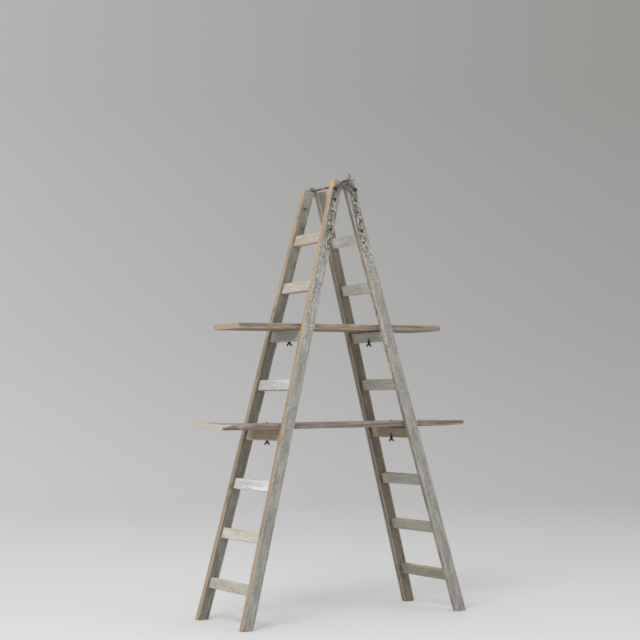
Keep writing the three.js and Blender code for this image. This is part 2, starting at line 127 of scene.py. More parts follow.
# Settings that several nodes share: a range with soft ends, and a mix of two colours.
SOFT = {"interpolation_type": "SMOOTHSTEP"}
BLEND = {"data_type": "RGBA", "out": 2}


class Side(Enum):
    """The two frames of the ladder, with the sign of X of each one's feet."""

    LEFT = -1
    RIGHT = 1

    @property
    def word(self) -> str:
        """The side as it stands in node names."""
        return self.name.lower()


class End(Enum):
    """The two ends of the hinge rod, with the sign of Y of each."""

    NEAR = -1
    FAR = 1

    @property
    def word(self) -> str:
        """The end as it stands in node names."""
        return self.name.lower()


def linear(hex_colour: str) -> tuple[float, float, float, float]:
    """Turns an sRGB hex colour to the linear colour that a shader takes.

    Args:
        hex_colour: Six hex digits after a hash mark.

    Returns:
        Linear red, green and blue, and an alpha of 1.
    """
    channels = [int(hex_colour[place : place + 2], 16) / 255 for place in (1, 3, 5)]
    curve = [c / 12.92 if c <= 0.04045 else ((c + 0.055) / 1.055) ** 2.4 for c in channels]
    return (*curve, 1.0)


def add(
    tree: Tree, kind: str, inputs: dict | None = None, out: int | str = 0, **settings
) -> Socket:
    """Adds one node with its settings, values and links.

    Args:
        tree: The node tree.
        kind: The node's type name, after ShaderNode.
        inputs: Input name or index to a value, or to the socket that feeds it.
        out: The output wanted.
        **settings: Properties of the node itself.

    Returns:
        The wanted output socket.
    """
    node = tree.nodes.new(f"ShaderNode{kind}")
    for name, value in settings.items():
        setattr(node, name, value)
    for key, value in (inputs or {}).items():
        if isinstance(value, Socket):
            tree.links.new(value, node.inputs[key])
        else:
            node.inputs[key].default_value = value
    return node.outputs[out]


def masks_from(tree: Tree, table: dict) -> dict:
    """Makes soft-edged masks from values.

    Args:
        tree: The node tree.
        table: Mask name to the value it reads, where it is 0 and where it is 1.

    Returns:
        Mask name to its socket.
    """
    return {
        name: add(tree, "MapRange", {"Value": value, "From Min": low, "From Max": high}, **SOFT)
        for name, (value, low, high) in table.items()
    }


def combined(tree: Tree, *values: Socket | float, operation: str = "MULTIPLY") -> Socket:
    """Folds several values into one.

    Args:
        tree: The node tree.
        *values: Sockets or numbers.
        operation: The math operation that joins two of them.

    Returns:
        The result's socket.
    """
    whole, *others = values
    for value in others:
        whole = add(tree, "Math", {0: whole, 1: value}, operation=operation)
    return whole


def coated(tree: Tree, base: Socket | str, coats: list) -> Socket:
    """Lays coats of colour over a base, the last one on top.

    Args:
        tree: The node tree.
        base: The colour underneath, as a socket or in hex.
        coats: Pairs of a mask and the colour that shows through it.

    Returns:
        The finished colour's socket.
    """
    for mask, top in coats:
        below, above = (linear(colour) if isinstance(colour, str) else colour for colour in (base, top))
        base = add(tree, "Mix", {0: mask, 6: below, 7: above}, **BLEND)
    return base


def shaded(tree: Tree, base: Socket, tones: list) -> Socket:
    """Darkens and lightens a colour by patterns.

    Args:
        tree: The node tree.
        base: The colour.
        tones: For each pattern, the value, its ends, and the factors at those ends.

    Returns:
        The shaded colour's socket.
    """
    factors = [
        add(tree, "MapRange", {"Value": value, 1: low, 2: high, 3: darkest, 4: lightest})
        for value, low, high, darkest, lightest in tones
    ]
    whole = combined(tree, *factors)
    return add(tree, "Mix", {0: 1.0, 6: base, 7: whole}, blend_type="MULTIPLY", **BLEND)


def lumps(
    tree: Tree, place: Socket, seed: float, sizes: dict, push: Socket | None = None
) -> dict[str, Socket]:
    """Makes noise patterns in a timber's own axes.

    Args:
        tree: The node tree.
        place: The timber's own axes.
        seed: Moves the patterns.
        sizes: Pattern name to its lumps' size along the grain and across it, in millimetres.
        push: A value that bends the patterns, or none.

    Returns:
        Pattern name to its socket.
    """
    made = {}
    for step, (name, (along, across)) in enumerate(sizes.items()):
        scale = (1 / (along * MM), 1 / (across * MM), 1 / (across * MM))
        start = (seed + 3.1 * step, 1.3 * seed, 1.7 * seed)
        moved = add(tree, "Mapping", {0: place, "Location": start, "Scale": scale})
        if push:
            moved = add(tree, "VectorMath", {0: moved, 1: push}, operation="ADD")
        settings = {"Vector": moved, "Scale": 1.0, "Detail": 5.0, "Roughness": 0.6}
        made[name] = add(tree, "TexNoise", settings)
    return made


def scattered(
    tree: Tree, place: Socket, seed: float, cell: tuple[float, ...], share: Socket | float
) -> tuple[Socket, Socket]:
    """Scatters spots over a timber, at most one to a cell.

    Args:
        tree: The node tree.
        place: The timber's own axes.
        seed: Moves the spots.
        cell: A cell's size along each of the timber's axes.
        share: The share of the cells that have a spot.

    Returns:
        The distance from the cell's centre in cells, and whether the cell has a spot.
    """
    scale = tuple(1 / size for size in cell)
    moved = add(tree, "Mapping", {0: place, "Location": (seed,) * 3, "Scale": scale})
    cells = add(tree, "TexVoronoi", {"Vector": moved, "Scale": 1.0}, out="Distance")
    chance = add(tree, "SeparateColor", {0: cells.node.outputs["Color"]})
    return cells, add(tree, "Math", {0: chance, 1: share}, operation="LESS_THAN")


def new_material(name: str) -> tuple[Material, Tree]:
    """Makes an empty node material.

    Args:
        name: The material's name.

    Returns:
        The material and its node tree.
    """
    material = bpy.data.materials.new(name)
    material.use_nodes = True
    material.node_tree.nodes.clear()
    return material, material.node_tree


def close_material(tree: Tree, relief: Socket, depth: float, inputs: dict) -> None:
    """Ends a material in a bump and one Principled shader.

    Args:
        tree: The node tree.
        relief: The height of the surface.
        depth: The depth of that relief, in metres.
        inputs: The shader's input names to values or sockets.
    """
    bump = add(tree, "Bump", {"Height": relief, "Strength": 0.7, "Distance": depth})
    shader = add(tree, "BsdfPrincipled", inputs | {"Normal": bump})
    surface = tree.nodes.new("ShaderNodeOutputMaterial")
    tree.links.new(shader, surface.inputs["Surface"])


def select_only(piece: Piece) -> None:
    """Makes one object the only selected and active one.

    Args:
        piece: The object.
    """
    bpy.ops.object.select_all(action="DESELECT")
    piece.select_set(True)
    bpy.context.view_layer.objects.active = piece


def merged_copy(node: str, name: str) -> Piece:
    """Copies a CAD node as a new piece with its triangles merged into flat faces.

    Args:
        node: The CAD node's name.
        name: The new piece's name.

    Returns:
        The new object, riding on nothing yet.
    """
    source = frame["nodes"][node]
    piece = bpy.data.objects.new(name, source.data.copy())
    bpy.context.scene.collection.objects.link(piece)
    piece.data.materials.clear()
    select_only(piece)
    bpy.ops.object.mode_set(mode="EDIT")
    bpy.ops.mesh.select_all(action="SELECT")
    bpy.ops.mesh.remove_doubles(threshold=WELD)
    bpy.ops.mesh.dissolve_limited(angle_limit=FLAT)
    bpy.ops.mesh.normals_make_consistent(inside=False)
    bpy.ops.object.mode_set(mode="OBJECT")
    return piece


def round_edges(
    piece: Piece, test: Callable[[Vector, Vector], bool], width: float, sharp: float = 40
) -> None:
    """Rounds the sharp edges of a piece that pass a test.

    Args:
        piece: The object.
        test: Takes an edge's two ends and says whether it is rounded.
        width: How far the rounding reaches from the edge.
        sharp: Edges that turn more than this, in degrees, are sharp.
    """
    select_only(piece)
    bpy.ops.object.mode_set(mode="EDIT")
    bpy.ops.mesh.select_mode(type="EDGE")
    bpy.ops.mesh.select_all(action="DESELECT")
    bpy.ops.mesh.edges_select_sharp(sharpness=math.radians(sharp))
    bpy.ops.object.mode_set(mode="OBJECT")
    points = [vertex.co for vertex in piece.data.vertices]
    for edge in piece.data.edges:
        if edge.select:
            edge.select = test(points[edge.vertices[0]], points[edge.vertices[1]])
    bpy.ops.object.mode_set(mode="EDIT")
    bpy.ops.mesh.bevel(offset=width, offset_type="OFFSET", segments=3, profile=0.5, affect="EDGES")
    bpy.ops.mesh.select_mode(type="VERT")
    bpy.ops.object.mode_set(mode="OBJECT")


def cut_across(piece: Piece, start: Vector, step: Vector, count: int) -> None:
    """Cuts a long piece across at even steps, so that its edges can be worn.

    Args:
        piece: The object.
        start: A point on the first cut.
        step: The way from one cut to the next, square to the cuts.
        count: How many cuts.
    """
    select_only(piece)
    bpy.ops.object.mode_set(mode="EDIT")
    for number in range(count):
        bpy.ops.mesh.select_all(action="SELECT")
        bpy.ops.mesh.bisect(plane_co=start + number * step, plane_no=step.normalized())
    bpy.ops.object.mode_set(mode="OBJECT")


def smooth_flats(piece: Piece, angle: float = 35) -> None:
    """Shades rounded edges smooth and keeps flat faces flat.

    Args:
        piece: The object.
        angle: Edges sharper than this, in degrees, stay sharp.
    """
    select_only(piece)
    bpy.ops.object.shade_smooth_by_angle(angle=math.radians(angle))
    weighted = piece.modifiers.new("weighted", "WEIGHTED_NORMAL")
    weighted.keep_sharp = True
    bpy.ops.object.modifier_apply(modifier=weighted.name)


def softened_copy(node: str, name: str, width: float, sharp: float, angle: float) -> Piece:
    """Copies a metal CAD node as a new piece with every sharp edge rounded.

    Args:
        node: The CAD node's name.
        name: The new piece's name.
        width: How far the rounding reaches from an edge.
        sharp: Edges that turn more than this, in degrees, are rounded.
        angle: Edges sharper than this, in degrees, stay sharp to the eye.

    Returns:
        The new object.
    """
    piece = merged_copy(node, name)
    round_edges(piece, lambda start, finish: True, width, sharp)
    smooth_flats(piece, angle)
    return piece


def points_of(piece: Piece) -> np.ndarray:
    """Reads a piece's points.

    Args:
        piece: The object.

    Returns:
        One row for each point.
    """
    flat = np.zeros(len(piece.data.vertices) * 3, np.float32)
    piece.data.vertices.foreach_get("co", flat)
    return flat.reshape(-1, 3).astype(float)


def store_grain(piece: Piece, own: np.ndarray) -> None:
    """Stores each point's place in the timber's own axes.

    Args:
        piece: The object.
        own: One row for each point: along, up and through the timber.
    """
    attribute = piece.data.attributes.new(GRAIN, "FLOAT_VECTOR", "POINT")
    attribute.data.foreach_set("vector", own.astype(np.float32).ravel())


@dataclass(frozen=True)
class WeatheredPaint:
    """Old oil paint on pine: chalky grey, rubbed to tan wood along the arrises, chipped and spattered.

    Old oil paint scatters like chalk, so it is nearly matt, and the bare pine under it is tan where
    hands and boots have polished it.

    Args:
        face: Paint on the side that faces out.
        back: Paint on the side that faces in.
        wood: Bare wood where it has been rubbed.
        ring: The bare wood's darker grain.
        depth: The timber's size up its depth.
        thickness: The timber's size through its thickness.
        bare_high: How bare the high narrow face is, from 0 to 1.
        bare_low: How bare the low narrow face is, from 0 to 1.
        rubbed: How far the rubbed arris reaches.
        specks: Share of small round spots, from 0 to 1.
        flecked: Where along the timber the thick spatter starts and stops.
        chipped: Where along the timber the low face is chipped to its pale undercoat.
        grime: How dark the dirt patches are, from 0 to 1.
        glow: How much paler the paint is near the hinge: painted light on the stile's upper part.
        polished: How orange the bare wood is at the top, from 0 to 1.
        tenon: Distance along at which a rung's tenon shows as stile paint, or 0 for none.
        far_end: The colour of a rung's far end, or nothing.
    """

    face: str
    back: str
    wood: str = "#c4ad93"
    ring: str = "#967f69"
    depth: float = STILE_DEPTH
    thickness: float = STILE_THICKNESS
    bare_high: float = 0.85
    bare_low: float = 0.3
    rubbed: float = 5 * MM
    specks: float = 0.3
    flecked: tuple[float, float] = (0.0, 0.0)
    chipped: tuple[float, float] = (0.0, 0.0)
    grime: float = 0.6
    glow: float = 0.0
    polished: float = 0.0
    tenon: float = 0.0
    far_end: str = ""

    def material(self, name: str, seed: float) -> Material:
        """Builds the finish for one timber.

        Args:
            name: The material's name.
            seed: Moves the patterns, so that no two timbers match.

        Returns:
            The material.
        """
        material, tree = new_material(name)
        place = add(tree, "Attribute", attribute_name=GRAIN, out="Vector")
        along, up, through = add(tree, "SeparateXYZ", {0: place}).node.outputs
        # Rings 3 mm apart drawn out along the timber, brush streaks, dirt patches, flaking and drips.
        sizes = {"rings": (250, 3), "streaks": (160, 11), "patches": (110, 35), "flakes": (22, 7)}
        read = lumps(tree, place, seed, sizes | {"drips": (16, 6), "blots": (24, 12)})
        off_middle = add(tree, "Math", {0: through}, operation="ABSOLUTE")
        read |= {"along": along, "from low": up, "through": through}
        read["from wide"] = combined(tree, self.thickness / 2, off_middle, operation="SUBTRACT")
        read["from high"] = combined(tree, self.depth, up, operation="SUBTRACT")
        masks = masks_from(tree, self._ranges(read))
        bare = self._bare(tree, read, masks)
        paint = self._paint(tree, read, masks)
        polish = combined(tree, masks["top"], self.polished)
        wood = coated(tree, self.ring, [(masks["late wood"], self.wood), (polish, "#d9a864")])
        spots = self._spots(tree, place, read["patches"], seed)
        layers = [(bare["rim"], "#cbc4b6"), (bare["wood"], wood), (spots, "#dedad0")]
        colour = coated(tree, paint, layers)
        sunk = combined(tree, bare["wood"], -0.9)
        relief = combined(tree, sunk, spots, read["rings"], operation="ADD")
        rough = add(tree, "MapRange", {"Value": read["patches"], "To Min": 0.62, "To Max": 0.85})
        close_material(tree, relief, 0.6 * MM, {"Base Color": colour, "Roughness": rough, "IOR": 1.5})
        return material

    def _ranges(self, read: dict) -> dict:
        """Says where each soft-edged mask starts and ends.

        Args:
            read: The places and patterns, by name.

        Returns:
            Mask name to the value it reads, where it is 0 and where it is 1.
        """
        along, flakes, blots = read["along"], read["flakes"], read["blots"]
        fleck_from, fleck_to = self.flecked
        chip_from, chip_to = self.chipped
        fade = 60 * MM
        gate_high, gate_low = 0.8 - 0.65 * self.bare_high, 0.8 - 0.65 * self.bare_low
        return {
            "late wood": (read["rings"], 0.35, 0.62),
            "top": (along, 75 * MM, 10 * MM),
            "outward": (read["through"], -0.1 * MM, 0.1 * MM),
            "fleck start": (along, fleck_from - fade, fleck_from + fade),
            "fleck end": (along, fleck_to + 2 * fade, fleck_to - 2 * fade),
            "chip start": (along, chip_from - fade, chip_from + fade),
            "chip end": (along, chip_to + fade, chip_to - fade),
            "pale drips": (read["drips"], 0.54, 0.6),
            "dark drips": (blots, 0.55, 0.62),
            "high face": (read["from high"], 1.5 * MM, 0.5 * MM),
            "low face": (read["from low"], 1.5 * MM, 0.5 * MM),
            "high gate": (read["patches"], gate_high, gate_high + 0.08),
            "low gate": (read["patches"], gate_low, gate_low + 0.08),
            "flaked": (flakes, 0.5, 0.56),
            "low strip": (read["from low"], 14 * MM, 3 * MM),
            "stray chips": (flakes, 0.7, 0.72),
            "knocks": (blots, 0.7, 0.73),
        }

    def _bare(self, tree: Tree, read: dict, masks: dict) -> dict:
        """Makes the masks of bare wood and of the pale undercoat that rims it.

        Args:
            tree: The node tree.
            read: The places and patterns, by name.
            masks: The masks, by name.

        Returns:
            The two masks, by name.
        """
        wobble = add(tree, "MapRange", {0: read["flakes"], 1: 0.3, 2: 0.7, 3: -1.0, 4: 1.0})
        torn = []
        for face in ("from high", "from low"):
            corner = combined(tree, read[face], read["from wide"], operation="ADD")
            inputs = {0: wobble, 1: 0.9 * self.rubbed, 2: corner}
            torn.append(add(tree, "Math", inputs, operation="MULTIPLY_ADD"))
        edge = combined(tree, *torn, operation="MINIMUM")
        ranges = {
            "arris": (edge, self.rubbed, 0.4 * self.rubbed),
            "rim": (edge, 1.7 * self.rubbed, 1.2 * self.rubbed),
        }
        rims = masks_from(tree, ranges)
        high = combined(tree, masks["high face"], masks["high gate"])
        low = combined(tree, masks["low face"], masks["low gate"])
        chips = combined(tree, masks["stray chips"], masks["knocks"], operation="MAXIMUM")
        chipped = [masks[name] for name in ("chip start", "chip end", "low strip", "flaked")]
        stretch = combined(tree, *chipped)
        rim = combined(tree, rims["rim"], masks["flaked"], 0.6)
        return {
            "wood": combined(tree, rims["arris"], high, low, chips, operation="MAXIMUM"),
            "rim": combined(tree, rim, stretch, operation="MAXIMUM"),
        }

    def _paint(self, tree: Tree, read: dict, masks: dict) -> Socket:
        """Makes the paint's own colour, with streaks, grime and thick spatter.

        Args:
            tree: The node tree.
            read: The places and patterns, by name.
            masks: The masks, by name.

        Returns:
            The colour's socket.
        """
        sides = [(masks["outward"], self.face)]
        if self.tenon:
            reach = add(tree, "Math", {0: read["along"]}, operation="ABSOLUTE")
            ranges = {
                "tenon": (reach, self.tenon, self.tenon + 0.2 * MM),
                "far": (read["along"], self.tenon - 75 * MM, self.tenon - 35 * MM),
            }
            ends = masks_from(tree, ranges)
            if self.far_end:
                sides.append((combined(tree, ends["far"], 0.9), self.far_end))
            sides.append((ends["tenon"], "#96938a"))
        base = coated(tree, self.back, sides)
        tones = [
            (read["streaks"], 0.32, 0.68, 1 - 0.4 * self.grime, 1.2),
            (read["patches"], 0.35, 0.6, 1 - 0.4 * self.grime, 1.1),
            (read["flakes"], 0.35, 0.65, 1 - 0.2 * self.grime, 1.08),
            (read["rings"], 0.3, 0.7, 0.88, 1.1),
            # The last tone is painted light: the paint is made paler towards the hinge.
            (read["along"], 0.1, 0.55, 1 + self.glow, 1.0),
        ]
        paint = shaded(tree, base, tones)
        thick = [masks["fleck start"], masks["fleck end"]]
        pale = combined(tree, *thick, masks["pale drips"], 0.75)
        dark = combined(tree, *thick, masks["dark drips"], 0.7)
        stain = combined(tree, masks["dark drips"], 0.45 * self.grime)
        return coated(tree, paint, [(stain, "#8b8066"), (dark, "#6b6654"), (pale, "#d6d3c9")])

    def _spots(self, tree: Tree, place: Socket, patches: Socket, seed: float) -> Socket:
        """Makes the mask of spattered paint: round spots of two sizes, in clumps.

        Args:
            tree: The node tree.
            place: The timber's own axes.
            patches: The pattern that gathers the spots into clumps.
            seed: Moves the patterns.

        Returns:
            The mask's socket.
        """
        share = add(tree, "MapRange", {0: patches, 1: 0.35, 2: 0.65, 3: 0.0, 4: self.specks})
        masks = []
        # Spots up to 5 mm and up to 3 mm across.
        for cell, width in ((13 * MM, 0.2), (7 * MM, 0.22)):
            cells, chosen = scattered(tree, place, seed, (cell,) * 3, share)
            disc = masks_from(tree, {"disc": (cells, width, 0.8 * width)})["disc"]
            masks.append(combined(tree, disc, chosen, 0.8))
        return combined(tree, *masks, operation="MAXIMUM")


@dataclass(frozen=True)
class ReclaimedPine:
    """Rough-sawn softwood plank, reused: brown and grey streaks along the grain, and dark knots.

    Raw weathered pine has no gloss at all, and its colour changes most across the rings.

    Args:
        light: The paler early wood.
        dark: The browner late wood.
        grey: Weathered streaks.
        length: The board's length.
        thickness: The board's thickness.
        whitewash: How much white shows at the left end, from 0 to 1.
    """

    light: str
    dark: str
    grey: str
    length: float
    thickness: float
    whitewash: float = 0.0

    def material(self, name: str, seed: float) -> Material:
        """Builds the finish for one board.

        Args:
            name: The material's name.
            seed: Moves the patterns.

        Returns:
            The material.
        """
        material, tree = new_material(name)
        place = add(tree, "Attribute", attribute_name=GRAIN, out="Vector")
        along, _, through = add(tree, "SeparateXYZ", {0: place}).node.outputs
        knot, push = self._knots(tree, place, seed)
        # Rings 5 mm apart, grey streaks, stains and splits, all pushed aside round each knot.
        sizes = {"rings": (450, 5), "streaks": (260, 12), "stains": (120, 30), "splits": (190, 3.5)}
        noises = lumps(tree, place, seed, sizes, push)
        reach = add(tree, "Math", {0: along}, operation="ABSOLUTE")
        half = self.length / 2
        ranges = {
            "early wood": (noises["rings"], 0.35, 0.65),
            "grey": (noises["streaks"], 0.48, 0.6),
            "dirt": (noises["splits"], 0.55, 0.63),
            "end grain": (reach, half - 1.2 * MM, half - 0.2 * MM),
            "left end": (along, -half + 240 * MM, -half + 2 * MM),
            "end face": (along, -half + 14 * MM, -half + 2 * MM),
            "top": (through, self.thickness / 2 - 4.5 * MM, self.thickness / 2 - 1 * MM),
            "patchy": (noises["stains"], 0.46, 0.6),
            "worn": (noises["streaks"], 0.3, 0.7),
        }
        masks = masks_from(tree, ranges)
        wood = coated(tree, self.dark, [(masks["early wood"], self.light)])
        greyed = combined(tree, masks["grey"], 0.75)
        dirt = combined(tree, masks["dirt"], 0.7)
        wood = coated(tree, wood, [(greyed, self.grey), (dirt, "#54463c"), (knot, "#4a3a30")])
        wood = shaded(tree, wood, [(noises["stains"], 0.3, 0.7, 0.72, 1.14)])
        sawn = combined(tree, masks["end grain"], 0.85)
        coats = [(sawn, "#c4ac90")]
        # Painted light: the top face and the top of the edges are painted paler, as if lit from above,
        # broken up by the streak noise.
        lit_top_band = combined(tree, masks["top"], masks["worn"], 0.5)
        coats.append((lit_top_band, "#cfc8bd"))
        if self.whitewash:
            fading = combined(tree, masks["left end"], masks["patchy"])
            wash = combined(tree, fading, masks["end face"], operation="MAXIMUM")
            coats.append((combined(tree, wash, self.whitewash), "#d9d4ca"))
            coats.append((combined(tree, wash, masks["grey"], 0.4), "#aaa59c"))
        coats.append((combined(tree, masks["end grain"], masks["dirt"], 0.6), "#8f7c69"))
        colour = shaded(tree, coated(tree, wood, coats), [(noises["streaks"], 0.3, 0.7, 0.88, 1.08)])
        relief = combined(tree, noises["rings"], masks["dirt"], operation="SUBTRACT")
        close_material(tree, relief, 0.9 * MM, {"Base Color": colour, "Roughness": 0.88, "IOR": 1.5})
        return material

    def _knots(self, tree: Tree, place: Socket, seed: float) -> tuple[Socket, Socket]:
        """Makes the mask of knots, 20 mm wide and 50 mm long, and the push they give the rings.

        Args:
            tree: The node tree.
            place: The board's own axes.
            seed: Moves the knots.

        Returns:
            The mask of the knots, and how far they push the rings aside.
        """
        cells, chosen = scattered(tree, place, seed, KNOT_CELL, KNOT_SHARE)
        found = masks_from(tree, {"core": (cells, 0.13, 0.07), "near": (cells, 0.4, 0.0)})
        return combined(tree, found["core"], chosen), combined(tree, found["near"], chosen, 1.6)


@dataclass(frozen=True)
class PaintedIron:
    """Wrought strap iron painted over many times: lumpy, with pale coats showing and dark pits of rust.

    Args:
        paint: The top coat.
        pale: An older, paler coat.
        rust: Pits and rusted edges.
        pitted: How much of it is pitted, from 0 to 1.
        rusted: How much bare rust shows beside the rod, from 0 to 1.
    """

    paint: str
    pale: str
    rust: str
    pitted: float = 0.5
    rusted: float = 0.0

    def material(self, name: str, seed: float) -> Material:
        """Builds the finish.

        Args:
            name: The material's name.
            seed: Moves the patterns.

        Returns:
            The material.
        """
        material, tree = new_material(name)
        place = add(tree, "TexCoord", out="Object")
        # Drips 12 mm wide and 22 mm long, pits 8 mm wide and 14 mm long, and a grain of 2.5 mm.
        settings = {"drips": ((80, 80, 45), 0.5), "pits": ((120, 120, 70), 0.6), "grain": ((400,) * 3, 0.5)}
        noises = {}
        for step, (key, (scale, rough)) in enumerate(settings.items()):
            inputs = {0: place, "Location": (seed + step,) * 3, "Scale": scale}
            moved = add(tree, "Mapping", inputs)
            inputs = {"Vector": moved, "Scale": 1.0, "Detail": 4.0, "Roughness": rough}
            noises[key] = add(tree, "TexNoise", inputs)
        start = 0.66 - 0.14 * self.pitted
        _, _, height = add(tree, "SeparateXYZ", {0: place}).node.outputs
        ranges = {
            "pale": (noises["drips"], 0.48, 0.57),
            "pits": (noises["pits"], start, start + 0.05),
            "by the rod": (height, HINGE_HEIGHT - 60 * MM, HINGE_HEIGHT - 15 * MM),
            "rusting": (noises["drips"], 0.42, 0.55),
        }
        masks = masks_from(tree, ranges)
        rusted = combined(tree, masks["by the rod"], masks["rusting"], self.rusted)
        layers = [(masks["pale"], self.pale), (masks["pits"], self.rust), (rusted, "#4b3d33")]
        colour = coated(tree, self.paint, layers)
        colour = shaded(tree, colour, [(noises["grain"], 0.3, 0.7, 0.86, 1.12)])
        relief = combined(tree, masks["pale"], masks["pits"], operation="SUBTRACT")
        close_material(tree, relief, 0.6 * MM, {"Base Color": colour, "Roughness": 0.62, "IOR": 1.5})
        return material


@dataclass(frozen=True)
class RustedIron:
    """Forged iron gone brown with rust, rubbed to bare metal only where hands hold it.

    Args:
        rust: Settled rust.
        deep: Older, darker rust in the hollows.
        rubbed: How much bare metal shows, from 0 to 1.
        handled: The colour of the part above the hinge that hands have worn, or nothing.
    """

    rust: str
    deep: str
    rubbed: float = 0.2
    handled: str = ""

    def material(self, name: str, seed: float) -> Material:
        """Builds the finish.

        Args:
            name: The material's name.
            seed: Moves the patterns.

        Returns:
            The material.
        """
        material, tree = new_material(name)
        place = add(tree, "TexCoord", out="Object")
        moved = add(tree, "Mapping", {0: place, "Location": (seed,) * 3})
        # Rust scales 7 mm across, and rubbed stretches of 36 mm.
        scales = add(tree, "TexNoise", {"Vector": moved, "Scale": 150.0, "Detail": 5.0})
        broad = add(tree, "TexNoise", {"Vector": moved, "Scale": 28.0, "Detail": 2.0})
        start = 0.72 - 0.3 * self.rubbed
        masks = masks_from(tree, {"settled": (scales, 0.35, 0.65), "bare": (broad, start, start + 0.08)})
        colour = coated(tree, self.deep, [(masks["settled"], self.rust), (masks["bare"], "#a39c94")])
        if self.handled:
            _, _, height = add(tree, "SeparateXYZ", {0: place}).node.outputs
            reach = {"grip": (height, HINGE_HEIGHT + 14 * MM, HINGE_HEIGHT + 30 * MM)}
            grip = masks_from(tree, reach)["grip"]
            worn = combined(tree, grip, masks["settled"], 0.9)
            colour = coated(tree, colour, [(worn, self.handled)])
        rough = add(tree, "MapRange", {"Value": masks["bare"], "To Min": 0.85, "To Max": 0.4})
        metal = add(tree, "MapRange", {"Value": masks["bare"], "To Min": 0.1, "To Max": 0.9})
        inputs = {"Base Color": colour, "Roughness": rough, "Metallic": metal}
        close_material(tree, scales, 0.4 * MM, inputs)
        return material


@dataclass(frozen=True)
class BlackedSteel:
    """Black-oxide steel fasteners, new beside the old timber, with a thin dull sheen.

    Args:
        fresh: The oxide as made.
        handled: The oxide where it is rubbed thin.
    """

    fresh: str = "#1a1a1c"
    handled: str = "#2c2b2c"

    def material(self, name: str, seed: float) -> Material:
        """Builds the finish.

        Args:
            name: The material's name.
            seed: Moves the patterns.

        Returns:
            The material.
        """
        material, tree = new_material(name)
        place = add(tree, "TexCoord", out="Object")
        moved = add(tree, "Mapping", {0: place, "Location": (seed,) * 3})
        # Handling marks 11 mm across.
        marks = add(tree, "TexNoise", {"Vector": moved, "Scale": 90.0, "Detail": 3.0})
        base = coated(tree, self.fresh, [(marks, self.handled)])
        rough = add(tree, "MapRange", {"Value": marks, "To Min": 0.38, "To Max": 0.6})
        close_material(tree, marks, 0.2 * MM, {"Base Color": base, "Roughness": rough, "Metallic": 0.5})
        return material


# The far stiles carry painted light: their paint is made paler towards the hinge.
STILE_PAINT = {
    (Side.LEFT, End.NEAR): WeatheredPaint(
        "#9b9993", "#86837a", specks=0.4, flecked=(0.34, 0.93), polished=0.85
    ),
    (Side.LEFT, End.FAR): WeatheredPaint(
        "#96928a", "#827f74", specks=0.2, grime=0.7, glow=0.35, polished=0.6
    ),
    (Side.RIGHT, End.NEAR): WeatheredPaint(
        "#9d9b95", "#86837a", bare_high=0.5, bare_low=0.4, flecked=(0.34, 0.5), chipped=(0.5, 1.15)
    ),
    (Side.RIGHT, End.FAR): WeatheredPaint(
        "#96928a", "#797061", bare_low=0.15, bare_high=0.5, specks=0.15, grime=0.7, glow=0.4
    ),
}

# Rung paints from the top rung down: the left frame's are the paler ones.
PALE = ("#b5a996", "#bdb5a8", "#aeaca4", "#cccbc8", "#a99782", "#dfdedd", "#c9c4b6", "#b5b0a2")
GREY = ("#bfbcb5", "#b5b2a8", "#a9a69d", "#a5a29a", "#887c68", "#99968f", "#9a968a", "#8e8a7e")

# Rungs whose far end has kept an older coat, or has lost its paint there.
FAR_ENDS = {
    (Side.LEFT, 5): "#c2bcae",
    (Side.RIGHT, 3): "#b3a58c",
    (Side.RIGHT, 4): "#b7a68d",
    (Side.RIGHT, 5): "#b2a78f",
    (Side.RIGHT, 6): "#b7a68d",
}


